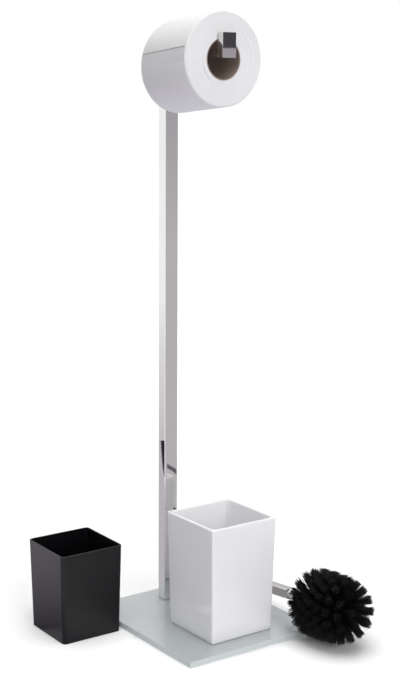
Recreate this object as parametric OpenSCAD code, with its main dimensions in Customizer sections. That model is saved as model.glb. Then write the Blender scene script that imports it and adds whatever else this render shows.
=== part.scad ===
// Toilet roll and brush stand. A frosted glass base carries a square post and an arm for one roll.
// A white cup stands on the glass. Its black liner stands beside the base on the left, and the
// brush lies on the floor on the right. Millimetres, +Z up, +Y to the back, floor at z = 0.

/* [Glass base] */
// Width of the glass plate, left to right
glass_w = 200; // [180:1:240]
// Depth of the glass plate, front to back
glass_d = 230; // [210:1:270]
// Thickness of the glass
glass_t = 8; // [6:0.5:12]
// Radius of the plate's four corners
glass_corner_r = 2; // [1.5:0.5:6]
// Thickness of the clear pads under the glass
pad_t = 2; // [1:0.5:4]
// Diameter of the clear pads
pad_d = 14; // [8:1:20]
// Distance from the plate's edges to the middle of a pad
pad_inset = 16; // [12:1:30]

/* [Post] */
// Width of the post's tube, left to right
post_w = 20; // [18:1:26]
// Depth of the post's tube, front to back
post_d = 16; // [14:1:26]
// Wall of the post's tube
post_wall = 1.5; // [1:0.1:2]
// Distance from the plate's back edge to the middle of the post
post_inset = 35; // [25:1:60]
// Thickness of the gasket between the post and the glass
gasket_t = 0.8; // [0.5:0.1:2]
// Length of the threaded plugs in the post's two ends
post_plug_l = 22; // [18:1:40]
// Outer corner radius of all the square tubes
tube_corner_r = 1; // [0.5:0.1:1.5]
// Clearance on each side of a plug in its tube, and round a screw in its hole
fit_gap = 0.1; // [0.05:0.01:0.2]

/* [Arm] */
// Width of the arm's tube, left to right
arm_w = 20; // [18:1:24]
// Height of the arm's tube
arm_h = 20; // [16:1:24]
// Wall of the arm's tube
arm_wall = 1.5; // [1:0.1:2]
// Height of the arm's upper face above the floor
arm_top = 753; // [550:1:850]
// Thickness of the turned-up tip, front to back
tip_t = 9; // [6:0.5:12]
// How far the tip stands above the arm
tip_rise = 10; // [5:0.5:12]
// Length of the tip's spigot inside the arm
tip_spigot_l = 12; // [8:1:20]
// Thickness of the cap on the arm's back end
arm_cap_t = 2; // [1:0.5:4]
// Length of the cap's two lugs inside the arm
arm_cap_lug_l = 7; // [5:0.5:7.5]

/* [Screws] */
// Diameter of the screw that holds the post to the glass
base_screw_d = 6; // [5:0.5:6]
// Diameter of that screw's countersunk head
base_head_d = 12; // [11:0.5:13]
// Wall of the nylon bush round the screw
bush_wall = 1.9; // [1:0.1:3]
// Length of screw in a post plug
screw_grip = 15; // [10:1:17]
// Diameter of the screw that holds the arm to the post
arm_screw_d = 5; // [4:0.5:6]
// Diameter of that screw's head
arm_head_d = 9; // [8:0.5:10]
// Height of that screw's head
arm_head_h = 4; // [3:0.5:5]
// Size of the screws' hexagon sockets, across corners
socket_d = 4.6; // [3:0.1:5]
// Depth of the hexagon sockets
socket_depth = 2.2; // [1.5:0.1:2.5]

/* [Toilet roll] */
// Diameter of the roll
roll_d = 116; // [90:1:130]
// Width of the roll
roll_w = 95; // [85:1:110]
// Bore of the cardboard core
core_bore = 48; // [42:1:52]
// Wall of the cardboard core
core_wall = 1; // [0.6:0.1:2]
// Width of the softened edge of the paper
paper_edge = 1.2; // [0.5:0.1:3]
// How far the soft paper has sunk round its core at the back of the roll
paper_sag = 9; // [0:0.5:12]
// Gap between the arm's upper edges and the core that hangs on them
hang_gap = 0.3; // [0.2:0.05:0.6]
// Free length of the arm beside the roll
roll_room = 17; // [8:1:30]
// Gap between the roll and the tip
roll_play = 2.4; // [1:0.2:6]

/* [White cup] */
// Width and depth of the cup at its rim
cup_w = 100; // [90:1:110]
// Height of the cup without its pads
cup_h = 150; // [135:1:200]
// How far each side leans in from the rim to the foot
cup_draft = 3.1; // [1:0.1:5]
// Wall of the cup
cup_wall = 4.2; // [3:0.1:5.5]
// Thickness of the cup's floor
cup_floor = 5; // [3:0.5:8]
// Outer corner radius of the cup
cup_corner_r = 2; // [1.5:0.5:5]
// Inner corner radius of the cup
cup_inner_r = 6; // [4:0.5:8]
// Rounding of the cup's rim
cup_rim_r = 0.8; // [0.4:0.1:1.2]
// Distance from the plate's front edge to the cup's rim
cup_inset = 24; // [15:1:40]
// Diameter of the pads under the cup
cup_pad_d = 10; // [6:1:14]
// Depth of the pockets that the pads sit in
cup_pad_pocket = 1; // [0.5:0.1:2]
// How far the pads stand out below the cup
cup_pad_out = 0.5; // [0.3:0.1:1]

/* [Black liner] */
// Height of the liner
liner_h = 117; // [90:1:125]
// Wall of the liner
liner_wall = 1.8; // [1.2:0.1:3]
// Thickness of the liner's floor
liner_floor = 2.5; // [1.5:0.5:4]
// Rounding of the liner's rim
liner_rim_r = 0.4; // [0.2:0.1:0.5]
// Clearance on each side when the liner stands in the white cup
liner_gap = 0.5; // [0.3:0.1:1.5]
// Gap between the plate's left edge and the liner's foot
liner_aside = 1.5; // [1:0.5:60]
// Distance from the plate's back edge to the middle of the liner
liner_inset = 33.6; // [0:0.2:120]
// How far the liner is turned, clockwise from above
liner_turn = 0.8; // [0:0.1:10]

/* [Brush head] */
// Diameter over the bristle tips
head_d = 89; // [75:1:96]
// Diameter of the plastic hub that holds the tufts
hub_d = 22; // [20:0.5:26]
// Length of hub that one row of tufts takes
row_pitch = 7.6; // [7:0.1:9]
// Number of rows round the hub
rows = 6; // [4:1:7]
// Number of tufts in a row
row_tufts = 18; // [12:1:18]
// Number of strands that stand for one tuft
tuft_strands = 3; // [3:1:4]
// How far the bristles of the nose reach past the last row
nose_reach = 55; // [44:1:60]
// Thickness of a strand, across its corners
strand_d = 1.2; // [0.8:0.1:1.2]
// Width of a tuft at the hub
tuft_root_d = 2.4; // [2:0.1:2.6]
// Width of a tuft at its tip
tuft_tip_d = 8; // [5:0.5:9]
// Depth of the flat where the lowest tips press on the floor
tip_flat = 0.5; // [0.3:0.1:1]
// How far the middle of the rows lies inside the line of the plate's right edge
brush_in = 2.5; // [0:0.5:8]
// How far the middle of the rows lies in front of the plate's front edge
brush_ahead = 20; // [20:1:60]
// How far the brush points away from straight ahead
brush_turn = 4.6; // [4:0.1:8]

/* [Brush handle] */
// Width of the handle's square tube
handle_w = 13; // [12:0.5:16]
// Wall of the handle's tube
handle_wall = 1; // [0.8:0.1:1.2]
// Distance from the middle of the rows to the far end of the handle
handle_end = 305; // [260:1:340]
// Distance from the middle of the rows to the near end of the tube
handle_start = 77; // [72:1:90]
// Length of the turned collar in front of the tube
collar_l = 12; // [8:1:16]
// Diameter of the brush's neck
neck_d = 9; // [8:0.5:10]
// Diameter of the thread that the brush head screws in by
thread_d = 8; // [6:0.5:8]
// Diameter of the rod that the hub's slices sit on
spine_d = 8; // [6:0.5:10]
// Thickness of the flange behind the last row
flange_t = 3; // [2:0.5:5]
// Length of the taper from the flange to the neck
shoulder_l = 9; // [6:1:14]
// Length of the threaded plug in the handle
handle_plug_l = 20; // [12:1:30]
// Thickness of the cap on the handle's far end
handle_cap_t = 2.5; // [1.5:0.5:5]
// Length of that cap's spigot inside the tube
handle_spigot_l = 9; // [6:1:16]

/* [Hidden] */
$fn = 64;
// Overrun of every cut past the face that it opens
cut_over = 1;
// Sides of the strands
strand_sides = 3;
// Facets across each corner of the cups, and across each rounded edge of their rims
corner_steps = 8;
rim_steps = 2;
// Facets round the paper
paper_sides = 96;
// Rings of tufts on the nose: how far each is tilted to the front, and how many tufts it has
nose_tilt_angles = [15, 35, 55, 76];
nose_ring_tufts = [18, 14, 10, 4];
// Turn from one row of tufts to the next, as a share of the angle between two tufts
row_turn_share = 0.3;
// How deep a strand starts inside the hub, as a share of the hub's radius
root_share = 0.15;

glass_top = pad_t + glass_t;
post_y = glass_d / 2 - post_inset;
post_foot = glass_top + gasket_t;
arm_under = arm_top - arm_h;
arm_back = post_y + post_d / 2;
tip_back = post_y - post_d / 2 - roll_w - roll_room;

base_screw_r = base_screw_d / 2;
base_head_r = base_head_d / 2;
bush_r = base_screw_r + fit_gap + bush_wall;
bush_head_r = base_head_r + fit_gap + bush_wall;

core_r = core_bore / 2;
core_out_r = core_r + core_wall;
roll_front = tip_back + roll_play;
roll_z = arm_top - sqrt(pow(core_r - hang_gap, 2) - pow(arm_w / 2, 2));

cup_y = cup_inset + cup_w / 2 - glass_d / 2;
cup_foot = glass_top + cup_pad_out;
cup_lean = cup_draft / cup_h;
// Outer width of the cup at a height above its foot
function cup_out_w(z) = cup_w - 2 * cup_lean * (cup_h - z);
// Inner width of the cup at a height above its foot
function cup_in_w(z) = cup_out_w(z) - 2 * cup_wall;

liner_foot_w = cup_in_w(cup_floor) - 2 * liner_gap;
liner_rim_w = cup_in_w(cup_floor + liner_h) - 2 * liner_gap;
liner_corner_r = cup_inner_r - liner_gap;
liner_spread = cos(liner_turn) + abs(sin(liner_turn));
liner_x = -glass_w / 2 - liner_aside - liner_foot_w / 2 * liner_spread;
liner_y = glass_d / 2 - liner_inset;

head_r = head_d / 2;
hub_r = hub_d / 2;
rows_half = rows * row_pitch / 2;
neck_start = rows_half + flange_t + shoulder_l;
collar_start = handle_start - collar_l;
tube_end = handle_end - handle_cap_t;
plug_w = handle_w - 2 * handle_wall - 2 * fit_gap;
tip_r = tuft_tip_d / 2;
root_r = tuft_root_d / 2;
// Angle of a tuft's first strand from the row's own line, with its second one as far along the axis
first_strand = 90 - 180 / tuft_strands;

// The brush rests on its last row's lowest tips and on the far end of its handle
low_reach = sqrt(pow(head_r, 2) - pow(tip_r, 2));
low_tip = rows_half - row_pitch / 2 + tip_r * sin(first_strand);
rest_rise = low_reach - handle_w / 2;
rest_run = handle_end - low_tip;
brush_dip = acos(tip_flat / norm([rest_rise, rest_run])) - atan2(rest_run, rest_rise);
brush_at = [
    glass_w / 2 - brush_in,
    -glass_d / 2 - brush_ahead,
    low_reach * cos(brush_dip) + low_tip * sin(brush_dip) - tip_flat,
];

// Middle of the whole set, from the middle of the glass
set_left = liner_x - liner_rim_w / 2 * liner_spread;
set_right = brush_at[0] + rows_half * sin(brush_turn) + head_r;
set_front = brush_at[1] - (rows_half + nose_reach) * cos(brush_turn) * cos(brush_dip);
set_back = brush_at[1] + handle_end * cos(brush_turn) * cos(brush_dip);
set_middle = [(set_left + set_right) / 2, (set_front + set_back) / 2, 0];

// Places a piece that is drawn from the middle of the glass
module in_set() translate(-set_middle) children();

// Places a piece that is drawn on the brush's axis, with +Z from the head to the handle
module on_brush() in_set() translate(brush_at) rotate([-90 - brush_dip, 0, -brush_turn]) children();

// Rectangle with round corners, centred
module round_rect(w, d, r) {
    square([w - 2 * r, d], center = true);
    square([w, d - 2 * r], center = true);
    for (x = [-1, 1], y = [-1, 1])
        translate([x * (w / 2 - r), y * (d / 2 - r)]) circle(r = r);
}

// Square tube that stands on the origin, with round outer corners
module square_tube(w, d, wall, length) {
    linear_extrude(length) difference() {
        round_rect(w, d, tube_corner_r);
        square([w - 2 * wall, d - 2 * wall], center = true);
    }
}

// Upright block that stands on the origin, centred on it
module block(w, d, h) translate([-w / 2, -d / 2, 0]) cube([w, d, h]);

// Square outline with round corners at one height, from its half width and its corner radius
function square_outline(half_w, r, z) = [
    for (quarter = [0 : 3], step = [0 : corner_steps])
        let (turn = 90 * (quarter + step / corner_steps), corner = 90 * quarter + 45)
        [
            (half_w - r) * sqrt(2) * cos(corner) + r * cos(turn),
            (half_w - r) * sqrt(2) * sin(corner) + r * sin(turn),
            z,
        ]
];

// Outlines of a square cup: up its leaning outside, over its rounded rim and down to its floor
function cup_outlines(foot_w, rim_w, h, wall, floor_t, outer_r, inner_r, rim_r) =
    let (lean = (rim_w - foot_w) / 2 / h, rim = rim_w / 2 - lean * rim_r)
    concat(
        [square_outline(foot_w / 2, outer_r, 0)],
        [for (step = [0 : rim_steps])
            let (turn = 90 * step / rim_steps, cut = rim_r * (1 - cos(turn)))
            square_outline(rim - cut, outer_r - cut, h - rim_r * (1 - sin(turn)))],
        [for (step = [rim_steps : -1 : 0])
            let (turn = 90 * step / rim_steps, cut = rim_r * (1 - cos(turn)))
            square_outline(rim - wall + cut, inner_r + cut, h - rim_r * (1 - sin(turn)))],
        [square_outline(foot_w / 2 + lean * floor_t - wall, inner_r, floor_t)]
    );

// Skin through outlines of equally many points, closed at the first one and at the last
module skin(outlines) {
    n = len(outlines[0]);
    last = len(outlines) - 1;
    polyhedron(
        points = [for (outline = outlines) each outline],
        faces = concat(
            [[for (i = [0 : n - 1]) i]],
            [for (k = [0 : last - 1], i = [0 : n - 1])
                let (j = (i + 1) % n)
                [k * n + i, (k + 1) * n + i, (k + 1) * n + j, k * n + j]],
            [[for (i = [n - 1 : -1 : 0]) last * n + i]]
        )
    );
}

module glass_base() color([0.78, 0.84, 0.83, 0.75]) in_set() difference() {
    translate([0, 0, pad_t]) linear_extrude(glass_t) round_rect(glass_w, glass_d, glass_corner_r);
    translate([0, post_y, 0]) rotate_extrude() polygon([
        [0, pad_t - cut_over],
        [bush_head_r + fit_gap + cut_over, pad_t - cut_over],
        [bush_r + fit_gap, pad_t + bush_head_r - bush_r],
        [bush_r + fit_gap, glass_top + cut_over],
        [0, glass_top + cut_over],
    ]);
}

module foot_pads() color([0.85, 0.87, 0.86]) in_set()
    for (x = [-1, 1], y = [-1, 1])
        translate([x * (glass_w / 2 - pad_inset), y * (glass_d / 2 - pad_inset), 0])
            cylinder(h = pad_t, d = pad_d);

module screw_bush() color([0.93, 0.93, 0.9]) in_set() translate([0, post_y, 0]) rotate_extrude()
    polygon([
        [base_head_r + fit_gap, pad_t],
        [bush_head_r, pad_t],
        [bush_r, pad_t + bush_head_r - bush_r],
        [bush_r, glass_top],
        [base_screw_r + fit_gap, glass_top],
        [base_screw_r + fit_gap, pad_t + base_head_r - base_screw_r],
    ]);

module base_screw() color([0.7, 0.71, 0.73]) in_set() translate([0, post_y, pad_t]) difference() {
    rotate_extrude() polygon([
        [0, 0],
        [base_head_r, 0],
        [base_screw_r, base_head_r - base_screw_r],
        [base_screw_r, glass_t + gasket_t + screw_grip],
        [0, glass_t + gasket_t + screw_grip],
    ]);
    translate([0, 0, -cut_over]) cylinder(h = socket_depth + cut_over, d = socket_d, $fn = 6);
}

module post_gasket() color([0.8, 0.82, 0.81]) in_set() translate([0, post_y, glass_top])
    linear_extrude(gasket_t) difference() {
        round_rect(post_w, post_d, tube_corner_r);
        circle(r = base_screw_r + fit_gap);
    }

// Threaded block in an end of the post: how high it starts and the screw that it takes
module post_plug(z, screw_r) color([0.6, 0.61, 0.63]) in_set() translate([0, post_y, z]) difference() {
    block(post_w - 2 * post_wall - 2 * fit_gap, post_d - 2 * post_wall - 2 * fit_gap, post_plug_l);
    translate([0, 0, -cut_over])
        cylinder(h = post_plug_l + 2 * cut_over, r = screw_r + fit_gap);
}

module post_foot_plug() post_plug(post_foot, base_screw_r);

module post_top_plug() post_plug(arm_under - post_plug_l, arm_screw_d / 2);

module post_tube() color([0.85, 0.86, 0.87]) in_set() translate([0, post_y, post_foot])
    square_tube(post_w, post_d, post_wall, arm_under - post_foot);

module arm_screw() color([0.7, 0.71, 0.73]) in_set()
    translate([0, post_y, arm_under + arm_wall]) difference() {
        union() {
            cylinder(h = arm_head_h, d = arm_head_d);
            translate([0, 0, -arm_wall - screw_grip])
                cylinder(h = arm_wall + screw_grip, d = arm_screw_d);
        }
        translate([0, 0, arm_head_h - socket_depth])
            cylinder(h = socket_depth + cut_over, d = socket_d, $fn = 6);
    }

module arm_tube() color([0.85, 0.86, 0.87]) in_set() difference() {
    translate([0, arm_back - arm_cap_t, arm_under + arm_h / 2]) rotate([90, 0, 0])
        square_tube(arm_w, arm_h, arm_wall, arm_back - arm_cap_t - tip_back);
    translate([0, post_y, arm_under - cut_over])
        cylinder(h = arm_wall + 2 * cut_over, r = arm_screw_d / 2 + fit_gap);
}

module arm_end_cap() color([0.82, 0.83, 0.84]) in_set()
    translate([0, arm_back - arm_cap_t, arm_under + arm_h / 2]) rotate([-90, 0, 0]) {
        linear_extrude(arm_cap_t) round_rect(arm_w, arm_h, tube_corner_r);
        for (x = [-1, 1])
            translate([x * (arm_w / 2 - arm_wall * 3 / 2 - fit_gap), 0, -arm_cap_lug_l])
                block(arm_wall, arm_h - 2 * arm_wall - 2 * fit_gap, arm_cap_lug_l);
    }

module arm_tip() color([0.85, 0.86, 0.87]) in_set() {
    translate([0, tip_back, arm_under + (arm_h + tip_rise) / 2]) rotate([90, 0, 0])
        linear_extrude(tip_t) round_rect(arm_w, arm_h + tip_rise, tube_corner_r);
    translate([0, tip_back + tip_spigot_l, arm_under + arm_h / 2]) rotate([90, 0, 0])
        block(arm_w - 2 * arm_wall - 2 * fit_gap, arm_h - 2 * arm_wall - 2 * fit_gap, tip_spigot_l);
}

// Places a piece that is drawn on the roll's axis, with +Z from its front face to its back face
module on_roll() in_set() translate([0, roll_front, roll_z]) rotate([-90, 0, 0]) children();

module roll_core() color([0.62, 0.52, 0.42]) on_roll() difference() {
    cylinder(h = roll_w, r = core_out_r);
    translate([0, 0, -cut_over]) cylinder(h = roll_w + 2 * cut_over, r = core_r);
}

// Outline of the paper at a distance from the roll's front face
function paper_outline(r, z) = [
    for (side = [0 : paper_sides - 1])
        let (turn = 360 * side / paper_sides)
        [r * cos(turn), r * sin(turn) + paper_sag * z / roll_w, z]
];

module roll_paper() color([0.95, 0.95, 0.94]) on_roll() difference() {
    skin([
        paper_outline(roll_d / 2 - paper_edge, 0),
        paper_outline(roll_d / 2, paper_edge),
        paper_outline(roll_d / 2, roll_w - paper_edge),
        paper_outline(roll_d / 2 - paper_edge, roll_w),
    ]);
    translate([0, 0, -cut_over])
        cylinder(h = roll_w + 2 * cut_over, r = core_out_r + fit_gap);
}

// Runs once over the middles of the four pads under the cup
module at_cup_pads() {
    out = cup_out_w(0) / 2 - cup_wall - cup_pad_d / 2;
    for (x = [-1, 1], y = [-1, 1]) translate([x * out, y * out, 0]) children();
}

module white_cup() color([0.95, 0.95, 0.96]) in_set() translate([0, cup_y, cup_foot]) difference() {
    skin(cup_outlines(
        cup_out_w(0), cup_w, cup_h, cup_wall, cup_floor, cup_corner_r, cup_inner_r, cup_rim_r
    ));
    at_cup_pads() translate([0, 0, -cut_over])
        cylinder(h = cup_pad_pocket + cut_over, r = cup_pad_d / 2 + fit_gap);
}

module cup_pads() color([0.85, 0.87, 0.86]) in_set() translate([0, cup_y, glass_top])
    at_cup_pads() cylinder(h = cup_pad_pocket + cup_pad_out, d = cup_pad_d);

module black_liner() color([0.12, 0.12, 0.13]) in_set()
    translate([liner_x, liner_y, 0]) rotate([0, 0, -liner_turn]) skin(cup_outlines(
        liner_foot_w, liner_rim_w, liner_h, liner_wall, liner_floor,
        liner_corner_r, liner_corner_r - liner_wall, liner_rim_r
    ));

// Three-sided prism from one point to another
module strand(from, to) {
    run = to - from;
    translate(from) rotate([0, acos(run[2] / norm(run)), atan2(run[1], run[0])])
        cylinder(h = norm(run), d = strand_d, $fn = strand_sides);
}

// Tuft that grows from a point on the hub's axis: its direction, a direction across it, its reach
module tuft(from, out, across, reach) {
    for (k = [0 : tuft_strands - 1]) {
        turn = first_strand + 360 * k / tuft_strands;
        side = across * cos(turn) + cross(out, across) * sin(turn);
        strand(
            from + out * hub_r * (1 - root_share) + side * root_r,
            from + out * sqrt(pow(reach, 2) - pow(tip_r, 2)) + side * tip_r
        );
    }
}

// Ring of tufts round the hub: how far along it starts, its tilt to the front, its tufts and phase
module tuft_ring(z, tilt, tufts, phase, reach) {
    for (t = [0 : tufts - 1]) {
        a = 90 + 360 * (t + phase) / tufts;
        tuft(
            [0, 0, z],
            [cos(tilt) * cos(a), cos(tilt) * sin(a), -sin(tilt)],
            [-sin(a), cos(a), 0],
            reach
        );
    }
}

// Takes off what would lie below the floor
module above_floor() difference() {
    children();
    in_set() translate(brush_at - [head_d, head_d, brush_at[2] + head_d])
        cube([2 * head_d, 2 * head_d, head_d]);
}

module bristle_row(i) color([0.09, 0.09, 0.1]) above_floor() on_brush() {
    z = (i - 1) * row_pitch - rows_half;
    translate([0, 0, z]) difference() {
        cylinder(h = row_pitch, r = hub_r);
        translate([0, 0, -cut_over])
            cylinder(h = row_pitch + 2 * cut_over, r = spine_d / 2 + fit_gap);
    }
    tuft_ring(z + row_pitch / 2, 0, row_tufts, (i - rows) * row_turn_share, head_r);
}

// Reach of the nose's bristles at a tilt, on a dome that starts at the rows' own radius
function nose_reach_at(tilt) = 1 / norm([cos(tilt) / head_r, sin(tilt) / nose_reach]);

module bristle_nose() color([0.09, 0.09, 0.1]) above_floor() on_brush() {
    translate([0, 0, -rows_half]) difference() {
        sphere(r = hub_r);
        translate([-hub_d, -hub_d, 0]) cube([2 * hub_d, 2 * hub_d, hub_d]);
    }
    for (i = [0 : len(nose_tilt_angles) - 1]) {
        tilt = nose_tilt_angles[i];
        phase = (-rows - i) * row_turn_share;
        tuft_ring(-rows_half, tilt, nose_ring_tufts[i], phase, nose_reach_at(tilt));
    }
}

module brush_spine() color([0.12, 0.12, 0.13]) on_brush() rotate_extrude() polygon([
    [0, -rows_half],
    [spine_d / 2, -rows_half],
    [spine_d / 2, rows_half],
    [hub_r, rows_half],
    [hub_r, rows_half + flange_t],
    [neck_d / 2, neck_start],
    [neck_d / 2, collar_start],
    [thread_d / 2, collar_start],
    [thread_d / 2, handle_start + handle_plug_l],
    [0, handle_start + handle_plug_l],
]);

module handle_collar() color([0.82, 0.83, 0.84]) on_brush() translate([0, 0, collar_start])
    difference() {
        cylinder(h = collar_l, d1 = neck_d + 2 * handle_wall, d2 = handle_w);
        translate([0, 0, -cut_over])
            cylinder(h = collar_l + 2 * cut_over, r = thread_d / 2 + fit_gap);
    }

module handle_plug() color([0.6, 0.61, 0.63]) on_brush() translate([0, 0, handle_start])
    difference() {
        block(plug_w, plug_w, handle_plug_l);
        translate([0, 0, -cut_over])
            cylinder(h = handle_plug_l + 2 * cut_over, r = thread_d / 2 + fit_gap);
    }

module handle_tube() color([0.85, 0.86, 0.87]) on_brush() translate([0, 0, handle_start])
    square_tube(handle_w, handle_w, handle_wall, tube_end - handle_start);

module handle_end_cap() color([0.82, 0.83, 0.84]) on_brush() {
    translate([0, 0, tube_end])
        linear_extrude(handle_cap_t) round_rect(handle_w, handle_w, tube_corner_r);
    translate([0, 0, tube_end - handle_spigot_l]) block(plug_w, plug_w, handle_spigot_l);
}

glass_base();
foot_pads();
screw_bush();
base_screw();
post_gasket();
post_foot_plug();
post_tube();
post_top_plug();
arm_screw();
arm_tube();
arm_end_cap();
arm_tip();
roll_core();
roll_paper();
white_cup();
cup_pads();
black_liner();
brush_spine();
bristle_nose();
for (i = [1 : rows])
    bristle_row(i);
handle_collar();
handle_plug();
handle_tube();
handle_end_cap();
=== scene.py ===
import math

import bmesh
import bpy
from mathutils import Matrix, Vector


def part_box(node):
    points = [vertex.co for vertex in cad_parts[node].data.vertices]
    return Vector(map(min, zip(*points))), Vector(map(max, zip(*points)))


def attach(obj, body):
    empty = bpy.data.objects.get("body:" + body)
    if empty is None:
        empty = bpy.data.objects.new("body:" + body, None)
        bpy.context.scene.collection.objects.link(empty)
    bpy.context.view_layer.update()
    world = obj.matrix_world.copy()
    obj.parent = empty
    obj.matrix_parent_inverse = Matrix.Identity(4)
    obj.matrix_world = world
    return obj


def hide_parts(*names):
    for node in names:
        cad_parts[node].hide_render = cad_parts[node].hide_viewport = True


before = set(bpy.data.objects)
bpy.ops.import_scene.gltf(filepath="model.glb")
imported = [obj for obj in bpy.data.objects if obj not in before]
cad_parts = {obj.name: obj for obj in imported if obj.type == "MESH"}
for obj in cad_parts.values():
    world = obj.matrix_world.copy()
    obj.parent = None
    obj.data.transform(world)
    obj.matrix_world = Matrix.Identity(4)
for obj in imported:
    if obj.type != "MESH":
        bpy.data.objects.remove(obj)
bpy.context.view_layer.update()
scene = bpy.context.scene
scene.view_settings.view_transform = "Standard"

# The camera. It stands about 1.7 m from the glass plate, a little lower than the roll, and looks
# down on the plate from the front left. Its place is measured from the middle of the plate.
plate_low, plate_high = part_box("glass_base")
plate_middle = Vector(((plate_low.x + plate_high.x) / 2, (plate_low.y + plate_high.y) / 2, 0))
camera_away = Vector((-1.017374, -1.401080, 0.706024))
camera_yaw = math.radians(35.8331)
camera_pitch = math.radians(10.6146)
camera_roll = math.radians(0.3466)
ahead = Vector((
    math.sin(camera_yaw) * math.cos(camera_pitch),
    math.cos(camera_yaw) * math.cos(camera_pitch),
    -math.sin(camera_pitch),
))
level_side = Vector((math.cos(camera_yaw), -math.sin(camera_yaw), 0))
level_up = level_side.cross(ahead)
camera_side = math.cos(camera_roll) * level_side + math.sin(camera_roll) * level_up
camera_up = math.cos(camera_roll) * level_up - math.sin(camera_roll) * level_side
lens = bpy.data.cameras.new("camera")
lens.sensor_fit = "VERTICAL"
lens.sensor_height = 36
lens.lens = 73.287
lens.clip_end = 100
camera = bpy.data.objects.new("camera", lens)
scene.collection.objects.link(camera)
camera.matrix_world = Matrix.Translation(plate_middle + camera_away) @ Matrix(
    (camera_side, camera_up, -ahead)
).transposed().to_4x4()
scene.camera = camera


# The glass plate. It is 8 mm float glass cut to 200 by 230 mm, with a round hole near the back
# for the post's screw. Its faces are acid etched, which leaves a soft grey-green, slightly milky
# sheet, and its edges are ground, which makes them paler. Their colour is also painted light,
# raised to stand in for the light that the glass carries out to its edges. Light goes through the
# plate, so it casts no shadow of its own.
def linear(hex_colour):
    """The linear colour of an sRGB hex value."""
    shares = [int(hex_colour[i:i + 2], 16) / 255 for i in (1, 3, 5)]
    return [c / 12.92 if c <= 0.04045 else ((c + 0.055) / 1.055) ** 2.4 for c in shares] + [1]


def add_node(tree, kind, inputs=None, **settings):
    """Adds a node. An input is a value or another node's output, by the socket's name or number."""
    made = tree.nodes.new(kind)
    for name, value in settings.items():
        setattr(made, name, value)
    for socket, value in (inputs or {}).items():
        if isinstance(value, bpy.types.NodeSocket):
            tree.links.new(value, made.inputs[socket])
        else:
            made.inputs[socket].default_value = value
    return made


def new_finish(name, light, dark, patch, smoothest, roughest, grain, relief, **constants):
    """A material whose colour and roughness drift over patches and whose surface has a fine grain.

    patch and grain are the real sizes of those patterns, and relief is how deep the grain is, all
    in metres. A grain finer than the render can show is drawn as coarse as it needs to be seen.
    """
    material = bpy.data.materials.new(name)
    material.use_nodes = True
    tree = material.node_tree
    shader = tree.nodes["Principled BSDF"]
    for socket, value in constants.items():
        shader.inputs[socket.replace("_", " ")].default_value = value
    place = add_node(tree, "ShaderNodeTexCoord").outputs["Object"]
    drift = add_node(
        tree, "ShaderNodeTexNoise", {"Vector": place, "Scale": 1 / patch, "Detail": 3}
    ).outputs["Fac"]
    colour = add_node(
        tree, "ShaderNodeMix", {0: drift, 6: linear(dark), 7: linear(light)}, data_type="RGBA"
    )
    tree.links.new(colour.outputs[2], shader.inputs["Base Color"])
    grains = add_node(
        tree, "ShaderNodeTexNoise", {"Vector": place, "Scale": 1 / grain, "Detail": 4}
    ).outputs["Fac"]
    polish = add_node(
        tree, "ShaderNodeMapRange", {"Value": grains, "To Min": smoothest, "To Max": roughest}
    )
    tree.links.new(polish.outputs["Result"], shader.inputs["Roughness"])
    bump = add_node(
        tree, "ShaderNodeBump", {"Height": grains, "Distance": relief, "Strength": 1}
    )
    tree.links.new(bump.outputs["Normal"], shader.inputs["Normal"])
    return material


def clean_copy(node, name, edge, edge_steps=2):
    """A merged copy of a CAD node with its sharp edges broken. It stands for that node."""
    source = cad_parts[node].data
    mesh = bpy.data.meshes.new(name)
    mesh.from_pydata(
        [v.co for v in source.vertices], [], [tuple(p.vertices) for p in source.polygons]
    )
    shape = bmesh.new()
    shape.from_mesh(mesh)
    bmesh.ops.remove_doubles(shape, verts=shape.verts, dist=1e-6)
    bmesh.ops.dissolve_limit(
        shape, angle_limit=math.radians(0.5), verts=shape.verts, edges=shape.edges
    )
    shape.to_mesh(mesh)
    shape.free()
    mesh.shade_smooth()
    piece = bpy.data.objects.new(name, mesh)
    scene.collection.objects.link(piece)
    broken = piece.modifiers.new("broken_edges", "BEVEL")
    broken.width = edge
    broken.segments = edge_steps
    broken.limit_method = "ANGLE"
    broken.angle_limit = math.radians(50)
    flat = piece.modifiers.new("flat_faces", "WEIGHTED_NORMAL")
    flat.weight = 100
    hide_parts(node)
    return piece


etched_glass = new_finish(
    "acid_etched_glass", "#BCC2C4", "#B5BBBD", 0.05, 0.34, 0.42, 0.0006, 0.00001,
    IOR=1.52, Transmission_Weight=0.35, Coat_Weight=1, Coat_Roughness=0.03, Coat_IOR=1.5,
)
# The edges' colour is paler from grinding and partly painted light, raised for the light that the
# glass carries out to them.
ground_edge_light = new_finish(
    "ground_edge_with_painted_light", "#E2E8E6", "#D8DFDD", 0.02, 0.4, 0.5, 0.0004, 0.00002,
    IOR=1.52, Transmission_Weight=0.15,
)
plate = clean_copy("glass_base", "glass_plate", 0.0006)
plate.data.materials.append(etched_glass)
plate.data.materials.append(ground_edge_light)
for face in plate.data.polygons:
    face.material_index = 0 if abs(face.normal.z) > 0.5 else 1
plate.visible_shadow = False
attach(plate, "stand")

# The feet. Four clear silicone discs are stuck under the plate, a gasket of the same silicone
# lies between the post and the glass, and four more discs sit in pockets under the cup.
clear_silicone = new_finish(
    "clear_silicone", "#E4E8E6", "#D6DCDA", 0.004, 0.25, 0.4, 0.0005, 0.00001,
    IOR=1.41, Transmission_Weight=0.6,
)


def paint(node, material):
    """Gives a CAD node its finish."""
    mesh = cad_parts[node].data
    mesh.materials.clear()
    mesh.materials.append(material)


for node in ("foot_pads", "post_gasket", "cup_pads"):
    paint(node, clear_silicone)

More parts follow.
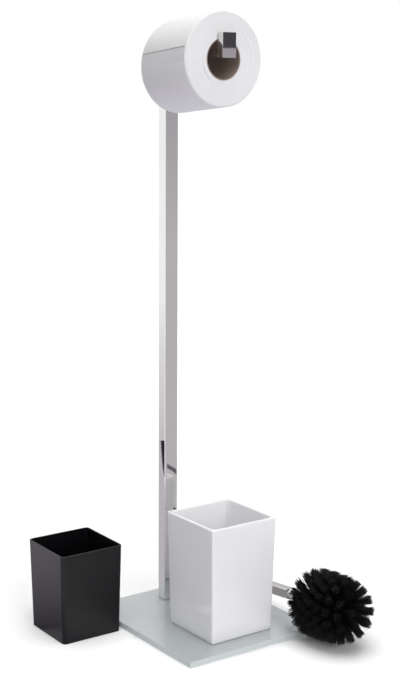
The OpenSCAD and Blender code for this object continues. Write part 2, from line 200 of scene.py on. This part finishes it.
# The fixings. Zinc-plated steel screws hold the post to the plate and the arm to the post, in
# steel blocks pressed into the tubes, and a turned nylon bush keeps the screw off the glass.
zinc_plate = new_finish(
    "zinc_plated_steel", "#C2C5C8", "#A9ADB3", 0.002, 0.28, 0.42, 0.0004, 0.00001, Metallic=1
)
for node in ("base_screw", "arm_screw", "post_foot_plug", "post_top_plug", "handle_plug"):
    paint(node, zinc_plate)
natural_nylon = new_finish(
    "natural_nylon", "#EEEDE4", "#E2E0D4", 0.004, 0.4, 0.5, 0.0004, 0.00002, IOR=1.53
)
paint("screw_bush", natural_nylon)

# The post and the arm. They are welded steel tubes, ground, buffed and chromed, so their faces
# reflect the room almost as a mirror does, with the faint drag of the buffing wheel along them.
bright_chrome = new_finish(
    "buffed_chrome", "#E4E3E3", "#DCDBDB", 0.06, 0.015, 0.03, 0.002, 0.000001, Metallic=1
)
for node in ("post_tube", "arm_tube", "handle_tube", "handle_collar"):
    paint(node, bright_chrome)
for node, name in (
    ("arm_tip", "arm_tip_block"),
    ("arm_end_cap", "arm_cap"),
    ("handle_end_cap", "handle_cap"),
):
    cap = clean_copy(node, name, 0.0003)
    cap.data.materials.append(bright_chrome)
    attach(cap, "brush" if node == "handle_end_cap" else "stand")

# The white cup. It is moulded in glossy white plastic with thick leaning walls. The mould leaves
# a smooth bright skin with a very faint ripple.
gloss_white = new_finish(
    "gloss_white_plastic", "#F8F7FB", "#F6F5F9", 0.04, 0.03, 0.06, 0.003, 0.000003, IOR=1.5,
    Subsurface_Weight=0.75, Subsurface_Radius=(1, 1, 1), Subsurface_Scale=0.009,
)
cup = clean_copy("white_cup", "white_cup_shell", 0.0018, 4)
cup.data.materials.append(gloss_white)
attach(cup, "cup")

# The black liner. It is a thin moulded polypropylene cup that drops into the white one. Its mould
# was finely sand blasted, so the skin has a satin sheen.
satin_black = new_finish(
    "satin_black_polypropylene", "#09060B", "#060408", 0.03, 0.3, 0.4, 0.0005, 0.000012,
    IOR=1.47, Specular_IOR_Level=0.32,
)
liner = clean_copy("black_liner", "black_liner_shell", 0.0003)
liner.data.materials.append(satin_black)
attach(liner, "liner")

# The roll's core. It is a tube of grey-brown board, wound on a slant from a strip, so the strip's
# edge runs round its inside as a shallow step.
core_low, core_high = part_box("roll_core")
roll_centre = (core_low + core_high) / 2
core_radius = (core_high.x - core_low.x) / 2
core_length = core_high.y - core_low.y
core_wall = 0.001
strip_lead = 0.075
strip_step = 0.00025
core_sides = 128
core_rings = 96
core_points = []
for k in range(core_rings + 1):
    y = core_length * (k / core_rings - 0.5)
    for i in range(core_sides):
        turn = 2 * math.pi * i / core_sides
        slant = (i / core_sides + y / strip_lead) % 1
        inside = core_radius - core_wall + strip_step * slant
        core_points.append((inside * math.cos(turn), y, inside * math.sin(turn)))
for y in (core_length / 2, -core_length / 2):
    for i in range(core_sides):
        turn = 2 * math.pi * i / core_sides
        core_points.append((core_radius * math.cos(turn), y, core_radius * math.sin(turn)))
core_faces = []
for k in range(core_rings + 3):
    for i in range(core_sides):
        j = (i + 1) % core_sides
        near = k * core_sides
        far = (k + 1) % (core_rings + 3) * core_sides
        core_faces.append((near + i, near + j, far + j, far + i))
core_mesh = bpy.data.meshes.new("board_core")
core_mesh.from_pydata(core_points, [], core_faces)
core_mesh.transform(Matrix.Translation(roll_centre))
core_mesh.shade_smooth()
core_mesh.set_sharp_from_angle(angle=math.radians(40))
brown_board = new_finish(
    "brown_core_board", "#AD9C8F", "#928277", 0.006, 0.8, 0.95, 0.0005, 0.00005
)
core_mesh.materials.append(brown_board)
core = bpy.data.objects.new("board_core", core_mesh)
scene.collection.objects.link(core)
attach(core, "roll")
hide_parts("roll_core")

# The paper. It is one long strip of soft two-ply tissue wound on the core, so its ends show as
# fine rings that never lie quite level. Each turn here stands for two or three real ones. At the
# back the soft turns have sunk round the core, the outermost edges are pressed round, and the
# strip's loose end hangs on the left, lifted a little.
paper_low, paper_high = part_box("roll_paper")
paper_radius = (paper_high.x - paper_low.x) / 2
paper_width = paper_high.y - paper_low.y
paper_end_angle = 165
paper_turns = 56 + paper_end_angle / 360
paper_tail_share = 0.0018
paper_tail_lift = 0.00025
paper_drift = 0.00022
paper_sag = 0.009
paper_round = 0.003
winding = bpy.data.node_groups.new("wound_paper", "GeometryNodeTree")
winding.interface.new_socket("Geometry", in_out="OUTPUT", socket_type="NodeSocketGeometry")


def add_inputs(tree, values):
    """Gives a tree its named inputs, and returns each one's value by the socket's identifier."""
    kinds = {
        int: "NodeSocketInt", float: "NodeSocketFloat", bpy.types.Material: "NodeSocketMaterial"
    }
    found = {}
    for name, value in values.items():
        kind = next(k for t, k in kinds.items() if isinstance(value, t))
        socket = tree.interface.new_socket(name, in_out="INPUT", socket_type=kind)
        found[socket.identifier] = value
    return found


def grown_mesh(seed_mesh, name, tree, values):
    """The plain mesh that a tree grows from a mesh, with those values at its inputs."""
    grower = bpy.data.objects.new(name, seed_mesh)
    scene.collection.objects.link(grower)
    modifier = grower.modifiers.new(tree.name, "NODES")
    modifier.node_group = tree
    for identifier, value in values.items():
        modifier[identifier] = value
    bpy.context.view_layer.update()
    grown = bpy.data.meshes.new_from_object(
        grower.evaluated_get(bpy.context.evaluated_depsgraph_get())
    )
    grower.modifiers.remove(modifier)
    bpy.data.objects.remove(grower)
    grown.name = name
    return grown


soft_tissue = new_finish(
    "soft_tissue", "#F5F5F5", "#EFEFEF", 0.01, 0.9, 1.0, 0.0006, 0.00006, Sheen_Weight=0.15
)
paper_values = add_inputs(winding, {
    "Inner Radius": core_radius + 0.0003,
    "Outer Radius": paper_radius - 0.0002,
    "Turns": paper_turns,
    "Steps In A Turn": 112,
    "Layer": (paper_radius - core_radius) / paper_turns * 0.96,
    "Width": paper_width - 2 * paper_drift,
    "Drift": paper_drift,
    "Tail Lift": paper_tail_lift,
    "Seed": 4.0,
    "Paper": soft_tissue,
})
given = add_node(winding, "NodeGroupInput").outputs
spiral = add_node(winding, "GeometryNodeCurveSpiral", {
    "Resolution": given["Steps In A Turn"],
    "Rotations": given["Turns"],
    "Start Radius": given["Inner Radius"],
    "End Radius": given["Outer Radius"],
    "Height": 0.0,
    "Reverse": True,
})
upright = add_node(
    winding, "GeometryNodeSetCurveNormal", {"Curve": spiral.outputs["Curve"]}, mode="Z_UP"
)
along_strip = add_node(winding, "GeometryNodeSplineParameter").outputs["Factor"]
turn_number = add_node(
    winding, "ShaderNodeMath", {0: along_strip, 1: given["Turns"]}, operation="MULTIPLY"
)
seeded_turn = add_node(
    winding, "ShaderNodeMath", {0: turn_number.outputs[0], 1: given["Seed"]}, operation="ADD"
)
wander = add_node(
    winding, "ShaderNodeTexNoise", {"W": seeded_turn.outputs[0], "Scale": 1.3, "Detail": 1},
    noise_dimensions="1D",
)
centred = add_node(
    winding, "ShaderNodeMapRange",
    {"Value": wander.outputs[0], "From Min": 0.25, "From Max": 0.75, "To Min": -1, "To Max": 1},
)
shift = add_node(
    winding, "ShaderNodeMath", {0: centred.outputs[0], 1: given["Drift"]}, operation="MULTIPLY"
)
shift_up = add_node(winding, "ShaderNodeCombineXYZ", {"Z": shift.outputs[0]})
tail = add_node(winding, "ShaderNodeMapRange", {
    "Value": along_strip, "From Min": 1 - paper_tail_share, "From Max": 1.0,
    "To Max": given["Tail Lift"],
})
spiral_point = add_node(winding, "GeometryNodeInputPosition").outputs[0]
off_roll = add_node(
    winding, "ShaderNodeVectorMath", {0: spiral_point}, operation="NORMALIZE"
)
lift_out = add_node(
    winding, "ShaderNodeVectorMath", {0: off_roll.outputs[0], 3: tail.outputs[0]},
    operation="SCALE",
)
moved = add_node(winding, "ShaderNodeVectorMath", {0: shift_up.outputs[0], 1: lift_out.outputs[0]})
drifted = add_node(winding, "GeometryNodeSetPosition", {
    "Geometry": upright.outputs["Curve"], "Offset": moved.outputs[0],
})
section = add_node(
    winding, "GeometryNodeCurvePrimitiveQuadrilateral",
    {"Width": given["Layer"], "Height": given["Width"]},
)
wound = add_node(winding, "GeometryNodeCurveToMesh", {
    "Curve": drifted.outputs["Geometry"],
    "Profile Curve": section.outputs["Curve"],
    "Fill Caps": True,
})
coloured = add_node(winding, "GeometryNodeSetMaterial", {
    "Geometry": wound.outputs["Mesh"], "Material": given["Paper"],
})
real = add_node(winding, "GeometryNodeRealizeInstances", {"Geometry": coloured.outputs[0]})
add_node(winding, "NodeGroupOutput", {"Geometry": real.outputs[0]})
paper_mesh = grown_mesh(bpy.data.meshes.new("empty"), "tissue_paper", winding, paper_values)
paper_mesh.transform(
    Matrix.Translation((roll_centre.x, (paper_low.y + paper_high.y) / 2, roll_centre.z))
    @ Matrix.Rotation(math.radians(90), 4, "X")
)
for point in paper_mesh.vertices:
    off_axis = math.hypot(point.co.x - roll_centre.x, point.co.z - roll_centre.z)
    out_share = (off_axis - core_radius) / (paper_radius - core_radius)
    back_share = (point.co.y - paper_low.y) / paper_width
    point.co.z -= paper_sag * back_share * min(max(out_share, 0), 1)
    depth_share = min(max((paper_radius - off_axis) / paper_round, 0), 1)
    pressed = paper_round * (1 - math.sqrt(1 - (1 - depth_share) ** 2))
    point.co.y += pressed if back_share < 0.5 else -pressed
paper_mesh.shade_smooth()
paper_mesh.set_sharp_from_angle(angle=math.radians(40))
paper = bpy.data.objects.new("tissue_paper", paper_mesh)
scene.collection.objects.link(paper)
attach(paper, "roll")
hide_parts("roll_paper")

# The brush's hub. It is moulded in black plastic and sits on the brush's rod, with a groove
# between one row of tufts and the next.
brush_turn = math.radians(4.6)
brush_dip = math.radians(7.4854)
head_middle = plate_middle + Vector((0.0975, -0.135, 0.046178))
brush_axes = Matrix.Rotation(-brush_turn, 4, "Z") @ Matrix.Rotation(
    -math.pi / 2 - brush_dip, 4, "X"
)
brush_place = Matrix.Translation(head_middle) @ brush_axes
hub_radius = 0.011
row_pitch = 0.0076
rows = 6
rows_half = rows * row_pitch / 2
hub_line = []
dome_steps = 12
for k in range(dome_steps + 1):
    tilt = math.pi / 2 * (1 - k / dome_steps)
    hub_line.append((hub_radius * math.cos(tilt), -rows_half - hub_radius * math.sin(tilt)))
groove = 0.0004
for row in range(1, rows):
    z = row * row_pitch - rows_half
    hub_line += [(hub_radius, z - groove), (hub_radius - groove, z), (hub_radius, z + groove)]
hub_line += [(hub_radius, rows_half), (0, rows_half)]
hub_sides = 64
hub = bmesh.new()
hub_start = [hub.verts.new((r, 0, z)) for r, z in hub_line]
hub_edges = [hub.edges.new(pair) for pair in zip(hub_start, hub_start[1:])]
bmesh.ops.spin(
    hub, geom=hub_start + hub_edges, cent=(0, 0, 0), axis=(0, 0, 1), angle=2 * math.pi,
    steps=hub_sides,
)
bmesh.ops.remove_doubles(hub, verts=hub.verts, dist=1e-6)
bmesh.ops.recalc_face_normals(hub, faces=hub.faces)
hub_mesh = bpy.data.meshes.new("brush_hub")
hub.to_mesh(hub_mesh)
hub.free()
hub_mesh.transform(brush_place)
hub_mesh.shade_smooth()
hub_mesh.set_sharp_from_angle(angle=math.radians(35))
moulded_black = new_finish(
    "moulded_black_plastic", "#1C1C1E", "#161618", 0.01, 0.35, 0.5, 0.0006, 0.00002, IOR=1.49
)
hub_mesh.materials.append(moulded_black)
hub_piece = bpy.data.objects.new("brush_hub", hub_mesh)
scene.collection.objects.link(hub_piece)
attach(hub_piece, "brush")
paint("brush_spine", moulded_black)

# The bristles. Tufts of black nylon filament are folded over and stapled into holes in the hub,
# and they flare towards tips that were trimmed to a drum with a domed nose. The filaments are
# drawn thicker and fewer than real ones. Each tuft keeps the place that it has in the CAD model.
head_radius = 0.0445
nose_reach = 0.055
row_tufts = 18
nose_rings = ((15, 18), (35, 14), (55, 10), (76, 4))
row_turn_share = 0.3
root_share = 0.85
black_nylon = new_finish(
    "black_nylon_filament", "#161517", "#09080A", 0.003, 0.35, 0.5, 0.0008, 0.00001, IOR=1.53
)
tufting = bpy.data.node_groups.new("bristle_tufts", "GeometryNodeTree")
tufting.interface.new_socket("Geometry", in_out="INPUT", socket_type="NodeSocketGeometry")
tufting.interface.new_socket("Geometry", in_out="OUTPUT", socket_type="NodeSocketGeometry")
tuft_values = add_inputs(tufting, {
    "Filaments": 60,
    "Steps": 5,
    "Root Depth": hub_radius * root_share,
    "Root Spread": 0.0018,
    "Tip Spread": 0.0049,
    "Thickness": 0.0007,
    "Bend": 0.0016,
    "Shortest": 0.9,
    "Floor": 0.0004,
    "Seed": 11,
    "Nylon": black_nylon,
})
given = add_node(tufting, "NodeGroupInput").outputs
copies = add_node(
    tufting, "GeometryNodeDuplicateElements",
    {"Geometry": given["Geometry"], "Amount": given["Filaments"]}, domain="POINT",
)


def add_random(low, high, step, vector=False):
    """A random number or vector for each filament, from the tree's seed."""
    seed = add_node(tufting, "ShaderNodeMath", {0: given["Seed"], 1: step}, operation="ADD")
    first = 0 if vector else 2
    return add_node(
        tufting, "FunctionNodeRandomValue",
        {first: low, first + 1: high, 8: seed.outputs[0]},
        data_type="FLOAT_VECTOR" if vector else "FLOAT",
    ).outputs[0 if vector else 1]


def add_math(operation, first, second=None, kind="ShaderNodeMath"):
    """One step of arithmetic on numbers, or on vectors."""
    inputs = {0: first} if second is None else {0: first, 1: second}
    return add_node(tufting, kind, inputs, operation=operation).outputs[0]


def add_scaled(vector, factor):
    """A vector times a number."""
    return add_node(
        tufting, "ShaderNodeVectorMath", {0: vector, 3: factor}, operation="SCALE"
    ).outputs[0]


def add_named(name, data_type):
    """A value that each tuft or filament carries under a name."""
    return add_node(
        tufting, "GeometryNodeInputNamedAttribute", {"Name": name}, data_type=data_type
    ).outputs[0]


def add_stored(geometry, name, value, data_type):
    """Writes a value on each filament under a name."""
    return add_node(
        tufting, "GeometryNodeStoreNamedAttribute",
        {"Geometry": geometry, "Name": name, "Value": value}, data_type=data_type, domain="POINT",
    ).outputs[0]


vector_math = "ShaderNodeVectorMath"
out = add_named("out", "FLOAT_VECTOR")
across = add_named("across", "FLOAT_VECTOR")
around = add_math("CROSS_PRODUCT", out, across, vector_math)
spin = add_random(0.0, 2 * math.pi, 1)
share = add_math("SQRT", add_random(0.0, 1.0, 2))
to_side = add_scaled(across, add_math("COSINE", spin))
to_turn = add_scaled(around, add_math("SINE", spin))
sideways = add_math("ADD", to_side, to_turn, vector_math)
place = add_node(tufting, "GeometryNodeInputPosition").outputs[0]
points = add_stored(copies.outputs["Geometry"], "root", place, "FLOAT_VECTOR")
points = add_stored(points, "side", sideways, "FLOAT_VECTOR")
points = add_stored(points, "share", share, "FLOAT")
points = add_stored(points, "trim", add_random(given["Shortest"], 1.0, 3), "FLOAT")
points = add_stored(
    points, "bow", add_random((-1, -1, -1), (1, 1, 1), 4, vector=True), "FLOAT_VECTOR"
)
thread = add_node(tufting, "GeometryNodeCurvePrimitiveLine", {"End": (0, 0, 0.01)})
stepped = add_node(
    tufting, "GeometryNodeResampleCurve", {"Curve": thread.outputs[0], "Count": given["Steps"]}
)
planted = add_node(tufting, "GeometryNodeInstanceOnPoints", {
    "Points": points, "Instance": stepped.outputs[0],
})
threads = add_node(tufting, "GeometryNodeRealizeInstances", {"Geometry": planted.outputs[0]})

climb = add_node(tufting, "GeometryNodeSplineParameter").outputs["Factor"]
off_middle = add_named("share", "FLOAT")
widest = add_math("MULTIPLY", off_middle, given["Tip Spread"])
reach = add_named("reach", "FLOAT")
tip_square = add_math(
    "SUBTRACT", add_math("MULTIPLY", reach, reach), add_math("MULTIPLY", widest, widest)
)
whole_run = add_math("SUBTRACT", add_math("SQRT", tip_square), given["Root Depth"])
run = add_math("MULTIPLY", add_math("MULTIPLY", whole_run, add_named("trim", "FLOAT")), climb)
flare = add_node(
    tufting, "ShaderNodeMapRange",
    {"Value": climb, "To Min": given["Root Spread"], "To Max": given["Tip Spread"]},
).outputs[0]
spread = add_math("MULTIPLY", flare, off_middle)
bowing = add_math("MULTIPLY", add_math("MULTIPLY", climb, climb), given["Bend"])
steps_out = (
    add_scaled(out, run),
    add_scaled(add_named("side", "FLOAT_VECTOR"), spread),
    add_scaled(add_named("bow", "FLOAT_VECTOR"), bowing),
)
spot = add_named("root", "FLOAT_VECTOR")
for step_out in steps_out:
    spot = add_math("ADD", spot, step_out, vector_math)
parts = add_node(tufting, "ShaderNodeSeparateXYZ", {0: spot}).outputs
above = add_math("MAXIMUM", parts["Z"], given["Floor"])
landed = add_node(tufting, "ShaderNodeCombineXYZ", {"X": parts["X"], "Y": parts["Y"], "Z": above})
bent = add_node(tufting, "GeometryNodeSetPosition", {
    "Geometry": threads.outputs[0], "Position": landed.outputs[0],
})
round_section = add_node(
    tufting, "GeometryNodeCurvePrimitiveCircle",
    {"Resolution": 3, "Radius": add_math("DIVIDE", given["Thickness"], 2.0)},
)
bristles = add_node(tufting, "GeometryNodeCurveToMesh", {
    "Curve": bent.outputs[0], "Profile Curve": round_section.outputs[0], "Fill Caps": True,
})
shaded = add_node(tufting, "GeometryNodeSetMaterial", {
    "Geometry": bristles.outputs[0], "Material": given["Nylon"],
})
real = add_node(tufting, "GeometryNodeRealizeInstances", {"Geometry": shaded.outputs[0]})
add_node(tufting, "NodeGroupOutput", {"Geometry": real.outputs[0]})

head = {"bristle_nose": [
    (-rows_half, math.radians(tilt), count, (-rows - k) * row_turn_share,
     1 / math.hypot(math.cos(math.radians(tilt)) / head_radius,
                    math.sin(math.radians(tilt)) / nose_reach))
    for k, (tilt, count) in enumerate(nose_rings)
]}
for row in range(1, rows + 1):
    middle = (row - 0.5) * row_pitch - rows_half
    phase = (row - rows) * row_turn_share
    head[f"bristle_row_{row}"] = [(middle, 0, row_tufts, phase, head_radius)]
for node, rings in head.items():
    starts, outs, crossings, reaches = [], [], [], []
    for z, tilt, count, phase, tip_reach in rings:
        for t in range(count):
            turn = math.pi / 2 + 2 * math.pi * (t + phase) / count
            direction = Vector((
                math.cos(tilt) * math.cos(turn), math.cos(tilt) * math.sin(turn), -math.sin(tilt)
            ))
            start = Vector((0, 0, z)) + direction * hub_radius * root_share
            starts.append(brush_place @ start)
            outs.extend(brush_axes.to_3x3() @ direction)
            crossings.extend(brush_axes.to_3x3() @ Vector((-math.sin(turn), math.cos(turn), 0)))
            reaches.append(tip_reach)
    tufts = bpy.data.meshes.new(f"{node}_roots")
    tufts.from_pydata(starts, [], [])
    tufts.attributes.new("out", "FLOAT_VECTOR", "POINT").data.foreach_set("vector", outs)
    tufts.attributes.new("across", "FLOAT_VECTOR", "POINT").data.foreach_set("vector", crossings)
    tufts.attributes.new("reach", "FLOAT", "POINT").data.foreach_set("value", reaches)
    tufts_mesh = grown_mesh(tufts, f"{node}_tufts", tufting, tuft_values)
    for name in ("out", "across", "reach", "root", "side", "share", "trim", "bow"):
        if name in tufts_mesh.attributes:
            tufts_mesh.attributes.remove(tufts_mesh.attributes[name])
    piece = bpy.data.objects.new(f"{node}_tufts", tufts_mesh)
    scene.collection.objects.link(piece)
    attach(piece, "brush")
    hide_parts(node)

# The studio. A matt white floor runs into a white surround, and the light is even and soft: most
# of it falls from overhead, and a weaker lamp at the front lifts the faces turned to it.
floor_mesh = bpy.data.meshes.new("studio_floor")
floor_reach = 30.0
floor_mesh.from_pydata(
    [(x * floor_reach, y * floor_reach, -0.0003) for x, y in ((-1, -1), (1, -1), (1, 1), (-1, 1))],
    [], [(0, 1, 2, 3)],
)
floor = bpy.data.objects.new("studio_floor", floor_mesh)
scene.collection.objects.link(floor)
matt_white = bpy.data.materials.new("matt_white_floor")
matt_white.use_nodes = True
tree = matt_white.node_tree
floor_shader = tree.nodes["Principled BSDF"]
floor_shader.inputs["Roughness"].default_value = 1
floor_shader.inputs["Specular IOR Level"].default_value = 0


def add_seen(tree):
    """1 where the camera, a reflection or a look through glass shows it, 0 for scattered light."""
    path = add_node(tree, "ShaderNodeLightPath").outputs
    straight = add_node(tree, "ShaderNodeMath", {
        0: path["Is Camera Ray"], 1: path["Is Glossy Ray"],
    }, operation="MAXIMUM")
    return add_node(tree, "ShaderNodeMath", {
        0: straight.outputs[0], 1: path["Is Transmission Ray"],
    }, operation="MAXIMUM").outputs[0]


floor_tone = add_node(
    tree, "ShaderNodeMix", {0: add_seen(tree), 6: linear("#C9C6CE"), 7: linear("#FFFFFF")},
    data_type="RGBA",
)
tree.links.new(floor_tone.outputs[2], floor_shader.inputs["Base Color"])
floor_mesh.materials.append(matt_white)

surround = bpy.data.worlds.new("white_surround")
surround.use_nodes = True
scene.world = surround
tree = surround.node_tree
ambient = 0.36
strength = add_node(
    tree, "ShaderNodeMapRange", {"Value": add_seen(tree), "To Min": ambient, "To Max": 1.0}
)
background = tree.nodes["Background"]
background.inputs["Color"].default_value = (1, 1, 1, 1)
tree.links.new(strength.outputs[0], background.inputs["Strength"])

for name, power, height, bearing, softness in (
    ("overhead_light", 2.05, 83, -30, 55),
    ("front_light", 1.04, 22, -4, 40),
):
    lamp = bpy.data.lights.new(name, "SUN")
    lamp.energy = power
    lamp.angle = math.radians(softness)
    light = bpy.data.objects.new(name, lamp)
    scene.collection.objects.link(light)
    light.rotation_euler = (math.radians(90 - height), 0, math.radians(bearing))

# The cards. They stand and lie round the set, out of view, and glow with their own tones. Most
# are grey boards; the one beside the liner and the small one on the plate are painted shade. Only
# polished faces show them, so that the chrome and the glossy plastic have something to mirror.
front_right = Vector((math.sin(camera_yaw), -math.cos(camera_yaw), 0))
back_left = -front_right
back_right = Vector((math.sin(camera_yaw), math.cos(camera_yaw), 0))
card_lift = Vector((0, 0, 0.0005))


def reflector(name, rows, brightness=1, one_sided=False):
    """A card that only polished faces show. A row is its two corners and the tone between them."""
    card = bpy.data.meshes.new(name)
    card.from_pydata(
        [plate_middle + card_lift + corner for row in rows for corner in row[:2]], [],
        [(2 * k, 2 * k + 1, 2 * k + 3, 2 * k + 2) for k in range(len(rows) - 1)],
    )
    tones = [share for row in rows for share in linear(row[2]) * 2]
    card.attributes.new("tone", "FLOAT_COLOR", "POINT").data.foreach_set("color", tones)
    hung = bpy.data.objects.new(name, card)
    scene.collection.objects.link(hung)
    hung.visible_camera = False
    hung.visible_diffuse = False
    hung.visible_shadow = False
    hung.visible_transmission = False
    card_paint = bpy.data.materials.new(name)
    card_paint.use_nodes = True
    tree = card_paint.node_tree
    shader = tree.nodes["Principled BSDF"]
    shader.inputs["Base Color"].default_value = (0, 0, 0, 1)
    shader.inputs["Roughness"].default_value = 1
    shader.inputs["Specular IOR Level"].default_value = 0
    shader.inputs["Emission Strength"].default_value = brightness
    tone = add_node(tree, "ShaderNodeAttribute", attribute_name="tone").outputs["Color"]
    tree.links.new(tone, shader.inputs["Emission Color"])
    if one_sided:
        behind = add_node(tree, "ShaderNodeNewGeometry").outputs["Backfacing"]
        shown = add_node(tree, "ShaderNodeMath", {0: 1.0, 1: behind}, operation="SUBTRACT")
        tree.links.new(shown.outputs[0], shader.inputs["Alpha"])
    card.materials.append(card_paint)


def card_row(away, distance, height, half_width, tone):
    """A level row of a card at a distance from the plate's middle, square to the way there."""
    middle = away * distance + Vector((0, 0, height))
    half = Vector((-away.y, away.x, 0)) * half_width
    return middle - half, middle + half, tone


# One card runs along the floor at the front right and up, with a dark one over it. Another stands
# at the back right.
reflector("front_card", [
    card_row(front_right, 0.25, 0, 1.5, "#C8C6C7"),
    card_row(front_right, 1.2, 0, 1.5, "#C8C6C7"),
    card_row(front_right, 1.2, 0.35, 1.5, "#C8C6C7"),
    card_row(front_right, 1.2, 0.77, 1.5, "#ADA9AF"),
])
reflector("dark_card", [
    card_row(front_right, 1.2, 0.77, 1.5, "#4B494F"),
    card_row(front_right, 1.2, 3.0, 1.5, "#4B494F"),
])
reflector("back_card", [
    card_row(back_right, 2.0, 0, 1.0, "#CECCD0"),
    card_row(back_right, 2.0, 0.42, 1.0, "#CECCD0"),
])

# One lies on the floor at the back left, in line with the post. One beside the liner is painted
# shade and light: darkest at the liner's foot, where it stands for the shadow on the floor, and
# brighter than the floor further out. A small dark one on the plate below the brush's handle is
# painted shade, which the handle's left face mirrors.
post_line = Vector((0, 0.08, 0))
reflector("left_card", [
    (near + post_line, far + post_line, tone)
    for near, far, tone in (
        card_row(back_left, 0.05, 0, 0.25, "#C4C1C7"),
        card_row(back_left, 0.6, 0, 0.25, "#C4C1C7"),
        card_row(back_left, 1.2, 0, 0.25, "#DDDBDF"),
        card_row(back_left, 2.6, 0, 0.25, "#FFFFFF"),
    )
], 1.1)
# Painted shade: a dark card that stands in for the shade under the handle, for the handle's left
# face to mirror.
handle_mark = Vector((0.074, 0.031, plate_high.z))
handle_shade_card_half = 0.02
reflector("handle_shade_card", [
    (
        handle_mark + Vector((-handle_shade_card_half, y, 0)),
        handle_mark + Vector((handle_shade_card_half, y, 0)),
        tone,
    )
    for y, tone in ((-0.04, "#969896"), (0.05, "#948D8C"))
], one_sided=True)
# Painted shade and light, mirrored in the liner's left face: dark at its foot for the shadow there,
# brighter than the floor further out.
liner_foot = Vector((-0.195, 0.09, 0.001))
reflector("liner_shade_card", [
    (near + liner_foot, far + liner_foot, tone)
    for near, far, tone in (
        card_row(back_left, 0, 0, 0.1, "#6E6975"),
        card_row(back_left, 0.1, 0, 0.12, "#A9A3B0"),
        card_row(back_left, 0.35, 0, 0.13, "#EFE9F5"),
        card_row(back_left, 3.0, 0, 0.13, "#EFE9F5"),
    )
], 1.7)

# Two dark strips on the floor, which only polished faces show, leave thin dark marks in the post.
# Each pair of corners is one row of the strip, measured from the plate's middle.
strip_height = 0.001
for name, tone, outline in (
    ("left_strip", "#25222A", (
        (-0.5007, 0.8054), (-0.5106, 0.7986),
        (-0.4613, 0.7452), (-0.4699, 0.7393),
        (-0.4260, 0.6909), (-0.4333, 0.6858),
        (-0.3962, 0.6445), (-0.4022, 0.6404),
        (-0.3633, 0.5913), (-0.3614, 0.5809),
    )),
    ("front_strip", "#66626A", (
        (0.3954, -0.5144), (0.3801, -0.492),
        (0.3888, -0.4738), (0.3701, -0.4468),
    )),
):
    ends = [Vector((*corner, strip_height)) for corner in outline]
    reflector(name, [(*pair, tone) for pair in zip(ends[::2], ends[1::2])])

# The flag. It is a black cloth that hangs upright left of the roll and keeps the level light off
# the roll's side. Neither the camera nor the chrome shows it.
flag_away = 0.3
flag_half_length = 0.25
flag_below, flag_above = 0.1, 0.03
flag_mesh = bpy.data.meshes.new("black_flag")
flag_mesh.from_pydata(
    [
        roll_centre + Vector((-flag_away, y, z))
        for y, z in (
            (-flag_half_length, -flag_below), (flag_half_length, -flag_below),
            (flag_half_length, flag_above), (-flag_half_length, flag_above),
        )
    ],
    [], [(0, 1, 2, 3)],
)
flag = bpy.data.objects.new("black_flag", flag_mesh)
scene.collection.objects.link(flag)
flag.visible_camera = False
flag.visible_glossy = False
flag.visible_transmission = False
black_cloth = bpy.data.materials.new("black_cloth")
black_cloth.use_nodes = True
cloth_shader = black_cloth.node_tree.nodes["Principled BSDF"]
cloth_shader.inputs["Base Color"].default_value = (0, 0, 0, 1)
cloth_shader.inputs["Specular IOR Level"].default_value = 0
flag_mesh.materials.append(black_cloth)
